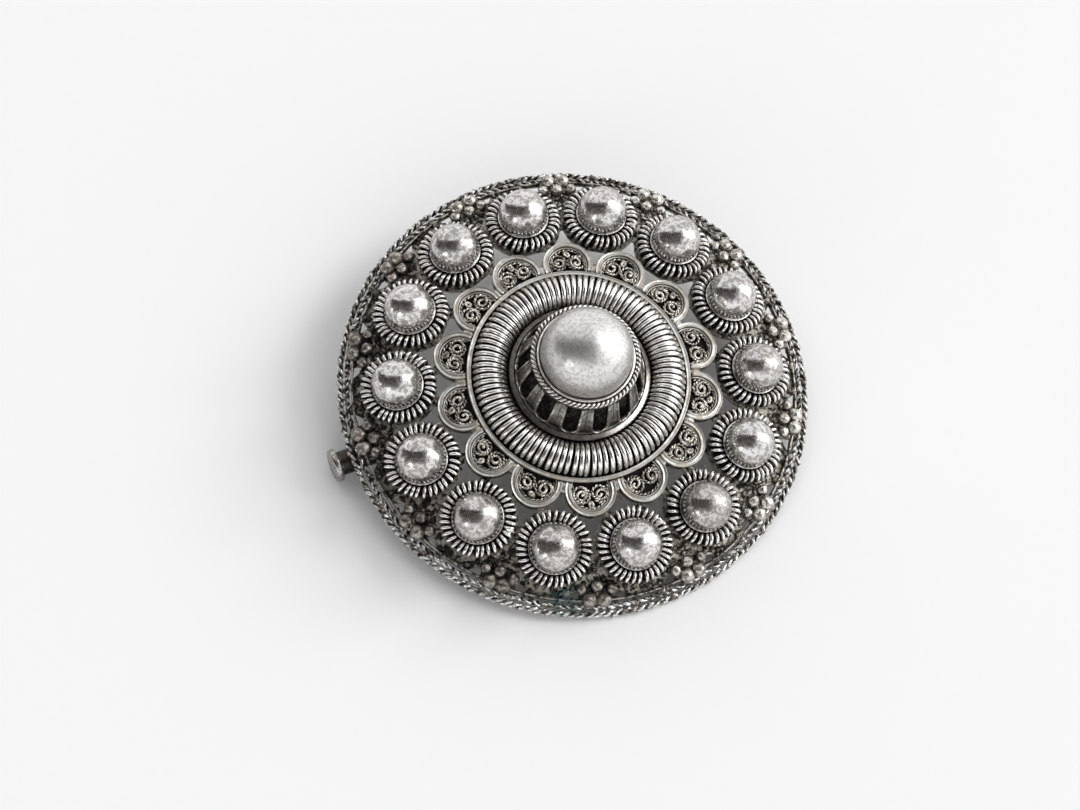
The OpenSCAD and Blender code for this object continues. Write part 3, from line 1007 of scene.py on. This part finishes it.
# Part of a spiral that is round before it winds inward, and the spirals' places in a scallop
SPIRAL_ROUND = 0.28
SPIRAL_SIDE = 0.91 * MM
SPIRAL_X = 0.32 * MM
# The small curl between two spirals, and the share of scallops that have it
CURL_R = 0.25 * MM
CURL_X = 1.28 * MM
CURL_SHARE = 0.92
# The twisted wire along the inside of an arch
ARC_R = 1.72 * MM
ARC_Z = 0.20 * MM
ARC_HALF = 1.95
ARC_POINTS = 88
POINTS_PER_TWIST = 11


def spiral_path(centre, first, hand, outer_r, turns, draw):
    """Flat spiral that winds inward after the first part of its outer turn."""
    t = np.linspace(0, 1, int(75 * turns))
    inward = np.clip((t - SPIRAL_ROUND) / (1 - SPIRAL_ROUND), 0, 1)
    turn = first + hand * TAU * turns * t
    rise = 0.22 * MM + 0.10 * MM * t + draw.uniform(-0.03, 0.03) * MM
    wave = 0.07 * MM * np.sin(turn * 1.7 + draw.uniform(0, TAU))
    r = outer_r + (SPIRAL_EYE_R - outer_r) * inward + wave
    return np.c_[centre[0] + r * np.cos(turn), centre[1] + r * np.sin(turn), rise]


class BROOCH_OT_spirals(Operator):
    """Coils two spirals of twisted wire into each scallop"""

    bl_idname = "brooch.add_spirals"
    bl_label = "Spirals"

    def execute(self, context):
        place = layout()
        draw = random.Random(21)
        bm = bmesh.new()
        for k in range(place.form.boss_count):
            paths = []
            for hand in (-1, 1):
                centre = (
                    SPIRAL_X + draw.uniform(-0.06, 0.04) * MM,
                    hand * SPIRAL_SIDE + draw.uniform(-0.04, 0.04) * MM,
                )
                turns = SPIRAL_TURNS + draw.uniform(-0.2, 0.15)
                paths.append(spiral_path(centre, draw.uniform(0, TAU), hand, SPIRAL_R, turns, draw))
            if draw.random() < CURL_SHARE:
                paths.append(spiral_path((CURL_X, 0.0), draw.uniform(0, TAU), 1, CURL_R, 1.0, draw))
            turn = np.linspace(-ARC_HALF, ARC_HALF, ARC_POINTS)
            r = ARC_R + 0.03 * MM * np.sin(3 * turn + draw.uniform(0, TAU))
            paths.append(polar(r, turn, np.full(ARC_POINTS, ARC_Z)))
            strands = []
            for path in paths:
                strands += two_strands(path, SPIRAL_STRAND_OUT, len(path) / POINTS_PER_TWIST, False)
            add_wires(bm, strands, SPIRAL_WIRE_R, 6, place=place.scallop_place(k))
        mesh = mesh_from(bm, "scallop_spirals")
        # Painted shade and oxide under the strands' tops, so only their tops stay light
        shade_by_height(mesh, place, 0.24 * MM, 0.43 * MM)
        add_piece("scallop_spiral_wire", mesh, "spiral", ["scallop_spirals"])
        return {"FINISHED"}


# Directions of the sides where the large coil's inner and outer flank get a painted sheen, where they face
# the light
COIL_SHEEN_INSIDE = math.radians(95)
COIL_SHEEN_OUTSIDE = math.radians(15)
# How far under the coil's middle line the painted shade and oxide at its foot start on each flank, and over
# how much height
COIL_FOOT_INSIDE = 1.5 * MM
COIL_FOOT_OUTSIDE = 0.9 * MM
COIL_FOOT_H = 0.7 * MM
# Direction where the polished strip keeps its painted highlight; away from it the strip is painted darker
STRIP_HIGHLIGHT_ANGLE = math.radians(-57)
STRIP_INNER_R = 6.48 * MM
STRIP_OUTER_R = 6.97 * MM


class BROOCH_OT_main_coil(Operator):
    """Winds the large coil, and sets the polished strip inside it"""

    bl_idname = "brooch.add_main_coil"
    bl_label = "Large coil"

    def execute(self, context):
        self.add_coil(layout(), wires())
        self.add_strip(layout())
        return {"FINISHED"}

    def add_coil(self, place, wire):
        form = place.form
        ring_r = form.main_coil_r
        mid_z = place.plate_z(ring_r) + 0.12 * MM
        tube_r = form.main_coil_d / 2 - wire.main_wire_r
        path = coil_path(ring_r, tube_r, mid_z, wire.main_turns, 28, random.Random(3), 0.10)
        r = axis_distance(path)
        floor = place.dome_mid.z + np.sqrt(form.dome_r**2 - r * r) + wire.main_wire_r + SEAM
        path[:, 2] = np.maximum(path[:, 2], floor)
        swell = 1 + 0.14 * np.clip((r - ring_r) / tube_r, -1, 1)
        mesh = wire_mesh("main_coil", [path], wire.main_wire_r, 10, closed=True, swell=swell)
        co = points_of(mesh)
        out = np.hypot(axis_distance(co) - ring_r, co[:, 2] - mid_z)
        # Painted shade and oxide in the gaps between the turns and towards the coil's foot, lightened by the
        # painted sheen on the flanks that face the light
        deep = fade(tube_r - 0.07 * MM, tube_r + 0.13 * MM, out)
        inside = axis_distance(co) < ring_r
        foot_z = mid_z - np.where(inside, COIL_FOOT_INSIDE, COIL_FOOT_OUTSIDE)
        low = fade(foot_z, foot_z + COIL_FOOT_H, co[:, 2])
        bare_and_sheen = smooth_step(0.3, 0.95, facing(co, np.where(inside, COIL_SHEEN_INSIDE, COIL_SHEEN_OUTSIDE)))
        set_shade_and_oxide(mesh, np.maximum(deep, low) - SIDE_LIGHTENING * bare_and_sheen)
        worn(mesh, 0.02 * MM, 0.9 * MM)
        add_piece("main_coil_wire", mesh, "coil", ["main_coil"])

    def add_strip(self, place):
        r0 = STRIP_INNER_R
        r1 = STRIP_OUTER_R
        foot = place.plate_z(r0) + SEAM
        sloped = [
            (r1, foot), (r1, 4.65 * MM), (r1 - 0.03 * MM, 4.69 * MM), (r1 - 0.08 * MM, 4.72 * MM),
            (r0 + 0.08 * MM, 4.90 * MM), (r0 + 0.03 * MM, 4.90 * MM), (r0, 4.86 * MM), (r0, foot),
        ]
        bm = bmesh.new()
        lathe(bm, sloped, 140)
        hammered(bm.verts, BELOW, 0.04 * MM, 2.4 * MM, 5)
        hammered(bm.verts, BELOW, 0.025 * MM, 0.8 * MM, 6)
        mesh = mesh_from(bm, "inner_strip")
        # Painted shade on the strip away from its highlight, and painted shade and oxide towards the plate
        off_highlight = 0.76 * fade(0.76, 0.97, facing(points_of(mesh), STRIP_HIGHLIGHT_ANGLE))
        set_shade_and_oxide(mesh, np.maximum(off_highlight, fade(0.1 * MM, 0.5 * MM, over_plate(mesh, place))))
        add_piece("inner_strip_band", mesh, "strip", ["inner_strip"])


class Cone:
    """The gallery's wall: points by angle, sideways distance, height and depth"""

    def __init__(self, place):
        form = place.form
        self.foot_r = form.gallery_foot_r
        self.foot_z = place.plate_z(form.gallery_foot_r) + SEAM
        self.head_r = form.gallery_head_r + 0.1 * MM
        self.head_z = form.seat_z - 0.2 * MM
        slope = math.atan2(self.foot_r - self.head_r, self.head_z - self.foot_z)
        self.out = (math.cos(slope), math.sin(slope))

    def wall_r(self, z):
        t = (z - self.foot_z) / (self.head_z - self.foot_z)
        return self.foot_r + (self.head_r - self.foot_r) * t

    def point(self, angle, side, z, depth=0.0):
        r = self.wall_r(z)
        turn = angle + side / r
        r -= depth * self.out[0]
        z -= depth * self.out[1]
        return Vector((r * math.cos(turn), r * math.sin(turn), z))


def strip(bm, rows, thickness):
    """A strip through rows of points, given its thickness."""
    verts = [[bm.verts.new(p) for p in row] for row in rows]
    faces = []
    for a, b in zip(verts, verts[1:]):
        for i in range(len(a) - 1):
            faces.append(bm.faces.new((a[i], a[i + 1], b[i + 1], b[i])))
    bmesh.ops.recalc_face_normals(bm, faces=faces)
    bmesh.ops.solidify(bm, geom=faces, thickness=thickness)


WINDOW_HALF = 0.78 * MM
WINDOW_LOW_Z = 5.52 * MM
# Heights of a window's straight sides under the gallery's head
WINDOW_SIDES_Z = (7.4 * MM, 6.5 * MM)
LOOP_OUT = 0.21 * MM
LOOP_DEPTHS = (-LOOP_OUT, 0.07 * MM, 0.34 * MM)
LOOP_T = 0.15 * MM
LOOP_BEAD_R = 0.085 * MM
SLAT_SEAM = 0.03 * MM
SLAT_IN = 0.06 * MM
SLAT_OVERLAP = 0.02 * MM
SLAT_T = 0.14 * MM
# Height and flare of a slat at each of its bends under the gallery's head
SLAT_BENDS = [(7.4 * MM, 0), (6.2 * MM, 0), (5.4 * MM, 0.05 * MM), (4.85 * MM, 0.14 * MM)]


class BROOCH_OT_gallery(Operator):
    """Builds the gallery from loops of ribbon with flat slats between them"""

    bl_idname = "brooch.add_gallery"
    bl_label = "Gallery"

    def execute(self, context):
        place = layout()
        form = place.form
        cone = Cone(place)
        bm = bmesh.new()
        edges = []
        for i in range(form.window_count):
            middle = (i + 0.5) * TAU / form.window_count
            edges.append(self.add_loop(bm, cone, middle))
            self.add_slats(bm, cone, i * TAU / form.window_count, form.window_count)
        add_wires(bm, edges, LOOP_BEAD_R, 10)
        foot_r = form.gallery_foot_r
        foot = [
            (foot_r - 0.3 * MM, cone.foot_z), (foot_r + 0.15 * MM, cone.foot_z),
            (foot_r + 0.15 * MM, cone.foot_z + 0.3 * MM), (foot_r, cone.foot_z + 0.55 * MM),
            (foot_r - 0.3 * MM, cone.foot_z + 0.55 * MM),
        ]
        lathe(bm, foot, 96)
        seat_r = form.dome_ball_r - 0.4 * MM
        low = cone.head_z
        top = form.seat_z
        lathe(bm, [(seat_r, low), (cone.head_r, low), (cone.head_r, top), (seat_r, top)], 96)
        mesh = mesh_from(bm, "gallery")
        co = points_of(mesh)
        # Painted shade and oxide deeper in the wall, darkening the slats and windows while the loops' edges
        # stay light
        set_shade_and_oxide(mesh, fade(-0.12 * MM, 0.19 * MM, axis_distance(co) - cone.wall_r(co[:, 2])))
        add_piece("gallery_ribbons", mesh, "gallery", ["gallery"], sharp=math.radians(40))
        return {"FINISHED"}

    def add_loop(self, bm, cone, middle):
        """A loop of ribbon round a window. Gives the path of its outer edge."""
        sides_z = (cone.head_z, *WINDOW_SIDES_Z)
        outline = [(-WINDOW_HALF, z) for z in sides_z]
        for part in range(13):
            a = math.pi + part * math.pi / 12
            outline.append((WINDOW_HALF * math.cos(a), WINDOW_LOW_Z + WINDOW_HALF * math.sin(a)))
        outline += [(WINDOW_HALF, z) for z in reversed(sides_z)]
        strip(bm, [[cone.point(middle, s, z, depth) for depth in LOOP_DEPTHS] for s, z in outline], LOOP_T)
        return np.array([cone.point(middle, s, z, LOOP_BEAD_R - LOOP_OUT) for s, z in outline])

    def add_slats(self, bm, cone, post, count):
        """Two flat slats side by side between two loops, flared at their feet."""
        for side in (-1, 1):
            slat = []
            for z, flare in [(cone.head_z, 0)] + SLAT_BENDS:
                half = math.pi * cone.wall_r(z) / count - WINDOW_HALF + SLAT_OVERLAP + flare
                steps = (SLAT_SEAM, 0.5 * half, half)
                row = [cone.point(post, side * s, z, flare + SLAT_IN) for s in steps]
                slat.append(row if side > 0 else row[::-1])
            strip(bm, slat, -SLAT_T)


BEZEL_ROPE_R = 0.27 * MM
COLLAR_W = 0.23 * MM
COLLAR_H = 0.7 * MM
DOME_LIFT = 1.17 * MM


class BROOCH_OT_crown(Operator):
    """Sets the middle dome with its twisted rope and its collar"""

    bl_idname = "brooch.add_crown"
    bl_label = "Middle dome"

    def execute(self, context):
        form = layout().form
        foot = form.seat_z + SEAM
        rope_r = BEZEL_ROPE_R
        ring_r = form.gallery_head_r - 0.05 * MM
        mesh = rope_mesh("bezel_rope", ring_r, foot + rope_r, rope_r, 0.54, wires().bezel_twists, 16)
        # Painted shade and oxide between the strands
        shade_by_ring(mesh, ring_r, foot + rope_r, 0.60 * rope_r, 0.97 * rope_r)
        add_piece("bezel_rope_strands", mesh, "bezel", ["bezel_rope"])
        bm = bmesh.new()
        inner = form.dome_ball_r + 0.07 * MM
        lathe(bm, rounded_box(inner, inner + COLLAR_W, foot, form.seat_z + COLLAR_H, 0.09 * MM), 120)
        mesh = mesh_from(bm, "bezel_collar")
        # Painted shade and oxide towards the collar's foot
        set_shade_and_oxide(mesh, fade(foot, form.seat_z + 0.65 * MM, points_of(mesh)[:, 2]))
        add_piece("bezel_collar_band", mesh, "bezel", ["bezel_collar"])
        bm = bmesh.new()
        centre = Vector((0, 0, form.seat_z + DOME_LIFT))
        verts = ball(bm, centre, form.dome_ball_r, 6)
        hammered(verts, centre, 0.06 * MM, 3.2 * MM, 4)
        hammered(verts, centre, 0.010 * MM, 0.6 * MM, 9)
        cut_flat(bm, foot)
        mesh = mesh_from(bm, "middle_dome")
        rise = points_of(mesh)[:, 2] - foot
        # Painted shade and oxide towards the dome's foot, strongest in a narrow ring at the foot
        set_shade_and_oxide(mesh, np.maximum(fade(0, 1.1 * MM, rise), 0.3 * fade(0, 3.6 * MM, rise)))
        add_piece("middle_dome_ball", mesh, "dome", ["middle_dome"])
        return {"FINISHED"}


SLIDE_LENGTH = 4.7 * MM
KNOB_T = 0.75 * MM


class BROOCH_OT_fastening(Operator):
    """Turns the slide with its knob, and finishes the tube and the pin"""

    bl_idname = "brooch.add_fastening"
    bl_label = "Fastening"

    def execute(self, context):
        form = layout().form
        finish_node("pin", "pin")
        finish_node("catch_tube", "tube")
        knob_r = form.knob_d / 2
        slide_r = form.slide_d / 2
        end = SLIDE_LENGTH
        section = [(0.0, 0.0), (0.8 * slide_r, 0.0), (slide_r, 0.15 * MM), (slide_r, end - KNOB_T)]
        rim = rounded_box(knob_r - 0.9 * MM, knob_r, end - KNOB_T, end, 0.26 * MM)
        section += [p for p in rim if p[0] > knob_r - 0.27 * MM]
        section += [(knob_r - 0.5 * MM, end - 0.08 * MM), (knob_r - 0.62 * MM, end), (0.0, end)]
        bm = bmesh.new()
        lathe(bm, section, 64, closed=False)
        axis = Matrix.Translation((KNOB_OUT_X + end, form.pin_offset, -form.pin_depth))
        bmesh.ops.transform(bm, matrix=axis @ Matrix.Rotation(-math.pi / 2, 4, "Y"), verts=bm.verts)
        mesh = mesh_from(bm, "catch_slide")
        add_piece(
            "catch_slide_knob", mesh, "knob", ["catch_slide"], "slide",
            math.radians(50),
        )
        return {"FINISHED"}


# Stage
WINDOW_TO = Vector((0.799, -0.206, 0.561))
TABLE_LIGHT_TO = Vector((0.849, 0.03, 0.53))
LAMP_TO = Vector((-0.872, -0.356, 0.311))
FAR_WINDOW_TO = Vector((-0.967, 0.247, 0.06))
FLOOR_HALF = 1.5


def area_light(name, towards, distance, width, height, power):
    """A soft rectangular light that faces the brooch."""
    data = bpy.data.lights.new(name, "AREA")
    data.shape = "RECTANGLE"
    data.size = width
    data.size_y = height
    data.energy = power
    obj = bpy.data.objects.new(name, data)
    bpy.context.scene.collection.objects.link(obj)
    obj.location = towards.normalized() * distance
    obj.rotation_euler = (-towards).to_track_quat("-Z", "Y").to_euler()
    return obj


def room_world(strength, across, above):
    """A pale room with a dark corner. Its sides are given as directions across and above the view."""
    world = bpy.data.worlds.new("Room")
    bpy.context.scene.world = world
    world.use_nodes = True
    nodes = Nodes(world.node_tree)
    towards = nodes.add("ShaderNodeTexCoord").outputs["Generated"]
    height = nodes.add("ShaderNodeSeparateXYZ", {0: towards}).outputs["Z"]
    sky = nodes.mix(nodes.ramp(height, 0.0, 0.7), (1.0, 1.0, 1.01, 1), (0.82, 0.82, 0.83, 1))
    uneven = nodes.minus(nodes.noise(towards, 4.0, 4.0, 0.5), 0.5)
    side = nodes.plus(nodes.vector("DOT_PRODUCT", towards, across), nodes.times(uneven, 0.6))
    rise = nodes.plus(nodes.vector("DOT_PRODUCT", towards, above), nodes.times(uneven, 0.26))
    dark = nodes.times(nodes.ramp(rise, 0.50, 0.60, 1.0, 0.0), nodes.ramp(rise, -0.58, -0.18))
    dark = nodes.times(dark, nodes.ramp(side, 0.22, 0.56, 1.0, 0.0))
    corner = nodes.mix(nodes.ramp(rise, 0.0, 0.4), (0.12, 0.115, 0.11, 1), (0.036, 0.033, 0.031, 1))
    background = world.node_tree.nodes["Background"]
    nodes.feed(background, {"Color": nodes.mix(dark, sky, corner), "Strength": strength})


class BROOCH_OT_stage(Operator):
    """Lays the pale floor and sets the camera and the lights"""

    bl_idname = "brooch.add_stage"
    bl_label = "Stage"

    def execute(self, context):
        stage = context.scene.brooch_stage
        ahead = Vector((
            math.sin(stage.azimuth) * math.cos(stage.elevation),
            math.cos(stage.azimuth) * math.cos(stage.elevation),
            -math.sin(stage.elevation),
        ))
        camera = bpy.data.objects.new("camera", bpy.data.cameras.new("camera"))
        context.scene.collection.objects.link(camera)
        camera.data.lens = stage.lens
        camera.data.clip_start = 10 * MM
        camera.location = Vector(stage.aim) - ahead * stage.distance
        turn = ahead.to_track_quat("-Z", "Y").to_matrix() @ Matrix.Rotation(stage.roll, 3, "Z")
        camera.rotation_euler = turn.to_euler()
        context.scene.camera = camera
        bm = bmesh.new()
        bmesh.ops.create_grid(bm, x_segments=2, y_segments=2, size=FLOOR_HALF)
        floor = bpy.data.objects.new("floor", mesh_from(bm, "floor"))
        context.scene.collection.objects.link(floor)
        pale = bpy.data.materials.new("Pale table")
        pale.use_nodes = True
        Nodes(pale.node_tree).feed(pale.node_tree.nodes["Principled BSDF"], {
            "Base Color": (0.96, 0.96, 0.962, 1), "Roughness": 0.7, "Specular IOR Level": 0.2,
        })
        floor.data.materials.append(pale)
        # Each light: direction, distance, width, height and power
        window = area_light("window", WINDOW_TO, 1.4, 0.84, 1.5, 4 * stage.window_power)
        window.visible_diffuse = False
        on_table = area_light(
            "window_on_table", TABLE_LIGHT_TO, 3.5, 1.75, 1.5, 24.4 * stage.window_power
        )
        on_table.visible_glossy = False
        area_light("lamp", LAMP_TO, 0.7, 0.14, 0.14, 0.23)
        area_light("far_window", FAR_WINDOW_TO, 0.7, 0.10, 0.14, 0.12)
        room_world(stage.room_light, turn.col[0], turn.col[1])
        context.scene.view_settings.view_transform = "Standard"
        return {"FINISHED"}


class BROOCH_PT_pieces(Panel):
    """The brooch's pieces, in the order that they are made"""

    bl_label = "Filigree brooch"
    bl_space_type = "VIEW_3D"
    bl_region_type = "UI"
    bl_category = "Brooch"

    def draw(self, context):
        for operator in PIECES:
            self.layout.operator(operator.bl_idname)
        for group in ("brooch_form", "brooch_wires", "brooch_finish", "brooch_stage"):
            values = getattr(context.scene, group)
            for key in values.__annotations__:
                self.layout.prop(values, key)


GROUPS = {
    "brooch_form": BroochForm,
    "brooch_wires": BroochWires,
    "brooch_finish": BroochFinish,
    "brooch_stage": BroochStage,
}
PIECES = [
    BROOCH_OT_stage,
    BROOCH_OT_plate,
    BROOCH_OT_rim,
    BROOCH_OT_bosses,
    BROOCH_OT_boss_coils,
    BROOCH_OT_granules,
    BROOCH_OT_scallops,
    BROOCH_OT_spirals,
    BROOCH_OT_main_coil,
    BROOCH_OT_gallery,
    BROOCH_OT_crown,
    BROOCH_OT_fastening,
]


def register():
    for group in GROUPS.values():
        bpy.utils.register_class(group)
    for name, group in GROUPS.items():
        setattr(bpy.types.Scene, name, PointerProperty(type=group))
    for piece in PIECES:
        bpy.utils.register_class(piece)
    bpy.utils.register_class(BROOCH_PT_pieces)


def unregister():
    bpy.utils.unregister_class(BROOCH_PT_pieces)
    for piece in reversed(PIECES):
        bpy.utils.unregister_class(piece)
    for name in GROUPS:
        delattr(bpy.types.Scene, name)
    for group in reversed(list(GROUPS.values())):
        bpy.utils.unregister_class(group)


def main():
    register()
    for piece in PIECES:
        category, name = piece.bl_idname.split(".")
        getattr(getattr(bpy.ops, category), name)()


if __name__ == "__main__":
    main()
